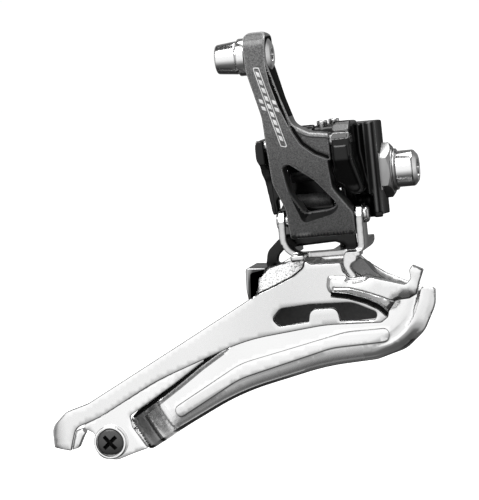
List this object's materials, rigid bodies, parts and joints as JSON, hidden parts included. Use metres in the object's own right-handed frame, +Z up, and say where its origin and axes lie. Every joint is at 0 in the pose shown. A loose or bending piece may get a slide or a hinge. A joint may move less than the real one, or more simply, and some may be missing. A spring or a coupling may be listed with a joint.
{
  "type": "front derailleur",
  "caption": "Braze-on bicycle front derailleur: a parallelogram linkage with a cable arm swings a bent chromed chain cage between two chainrings.",
  "frame": {"origin": "on the mounting bolt's axis, 3.3 mm behind the bottom of the concave seat", "axes": "+X forward along the mounting bolt, +Y inboard towards the frame's centre, +Z up along the seat tube"},
  "size_m": [0.0992, 0.0257, 0.1034],
  "materials": {
    "gloss_black": "gloss black paint on forged aluminium",
    "satin_black": "satin anodised dark grey with a fine speckle",
    "chrome_plate": "chromed steel, satin outside and polished on the ribs",
    "bright_steel": "machined and plated steel",
    "polished_aluminium": "turned aluminium",
    "dark_screw": "black oxide",
    "black_plastic": "moulded bearing plastic",
    "spring_steel": "oiled spring wire"
  },
  "bodies": {
    "mount": {"mount_body": "gloss_black", "outer_upper_pin": "bright_steel", "inner_upper_pin": "bright_steel", "mounting_bolt": "polished_aluminium", "radius_washer": "bright_steel", "bolt_washer": "bright_steel"},
    "low_screw": {"low_limit_screw": "bright_steel"},
    "high_screw": {"high_limit_screw": "bright_steel"},
    "outer_arm": {"outer_link": "satin_black", "upper_rear_bush": "black_plastic", "upper_front_bush": "black_plastic", "lower_rear_bush": "black_plastic", "lower_front_bush": "black_plastic", "cable_bolt": "polished_aluminium", "cable_washer": "polished_aluminium", "cable_nut": "polished_aluminium"},
    "inner_arm": {"inner_link": "gloss_black", "spring_sleeve": "black_plastic", "torsion_spring": "spring_steel"},
    "cage": {"cage_bracket": "chrome_plate", "outer_lower_pin": "bright_steel", "inner_lower_pin": "bright_steel", "outer_cage_plate": "chrome_plate", "inner_cage_plate": "chrome_plate", "front_bridge": "chrome_plate", "rear_bridge": "chrome_plate", "tail_boss": "polished_aluminium", "tail_screw": "dark_screw"}
  },
  "joints": [
    {"name": "outer_link_pivot", "type": "hinge", "parent": "mount", "child": "outer_arm", "pos_m": [-0.012, -0.0125, 0.0093], "axis": [-1, 0, 0], "range_deg": [0, 34], "stiffness_Nm_per_rad": 0.25, "springref_deg": -34.38},
    {"name": "cage_pivot", "type": "hinge", "parent": "outer_arm", "child": "cage", "pos_m": [-0.012, -0.00845, -0.00977], "axis": [-1, 0, 0], "range_deg": [-34, 0]},
    {"name": "inner_link_pivot", "type": "hinge", "parent": "mount", "child": "inner_arm", "pos_m": [-0.012, -0.0035, 0.0111], "axis": [-1, 0, 0], "range_deg": [0, 34], "deforming": ["torsion_spring"]},
    {"name": "low_limit_turn", "type": "hinge", "parent": "mount", "child": "low_screw", "pos_m": [-0.0086, -0.0062, 0.0129], "axis": [0, 0, 1], "range_deg": [-540, 540]},
    {"name": "high_limit_turn", "type": "hinge", "parent": "mount", "child": "high_screw", "pos_m": [-0.0066, -0.0008, 0.0129], "axis": [0, 0, 1], "range_deg": [-540, 540]}
  ],
  "couplings": [
    {"joint": "cage_pivot", "follows": "outer_link_pivot", "ratio": -1},
    {"joint": "inner_link_pivot", "follows": "outer_link_pivot", "ratio": 1}
  ]
}
